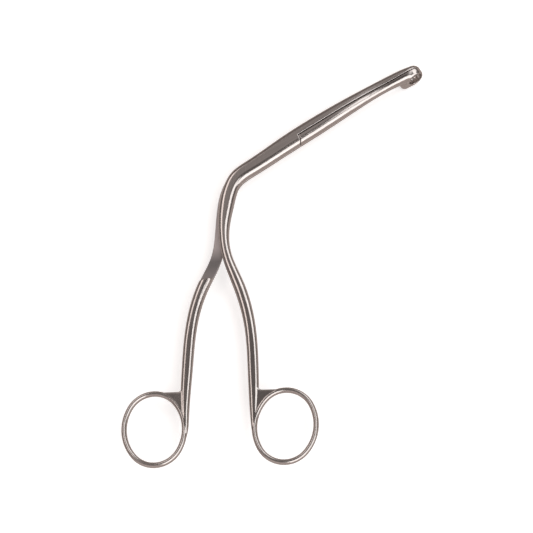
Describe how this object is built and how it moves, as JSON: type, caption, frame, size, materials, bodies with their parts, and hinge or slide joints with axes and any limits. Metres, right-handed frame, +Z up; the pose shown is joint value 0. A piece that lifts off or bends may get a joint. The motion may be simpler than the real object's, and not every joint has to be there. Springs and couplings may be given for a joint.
{
  "type": "magill forceps",
  "caption": "Angled surgical grasping forceps: lapped halves turning on a pivot, finger rings on the handles and serrated, windowed jaw tips.",
  "frame": {"origin": "on the floor, under the middle of the closed forceps' bounding box", "axes": "+Y from the finger rings towards the jaws, along the handle; +X to the side the jaws lean to; +Z up, out of the half that lies on top"},
  "size_m": [0.1228, 0.1694, 0.0092],
  "materials": {
    "front_steel": "polished stainless steel",
    "back_steel": "polished stainless steel",
    "screw_steel": "satin stainless steel"
  },
  "bodies": {
    "front": {"front_half": "front_steel", "pivot_screw": "screw_steel"},
    "back": {"back_half": "back_steel"}
  },
  "joints": [
    {"name": "pivot", "type": "hinge", "parent": "front", "child": "back", "pos_m": [0.00325, 0.04978, 0.0059], "axis": [0, 0, -1], "range_deg": [0, 28]}
  ]
}
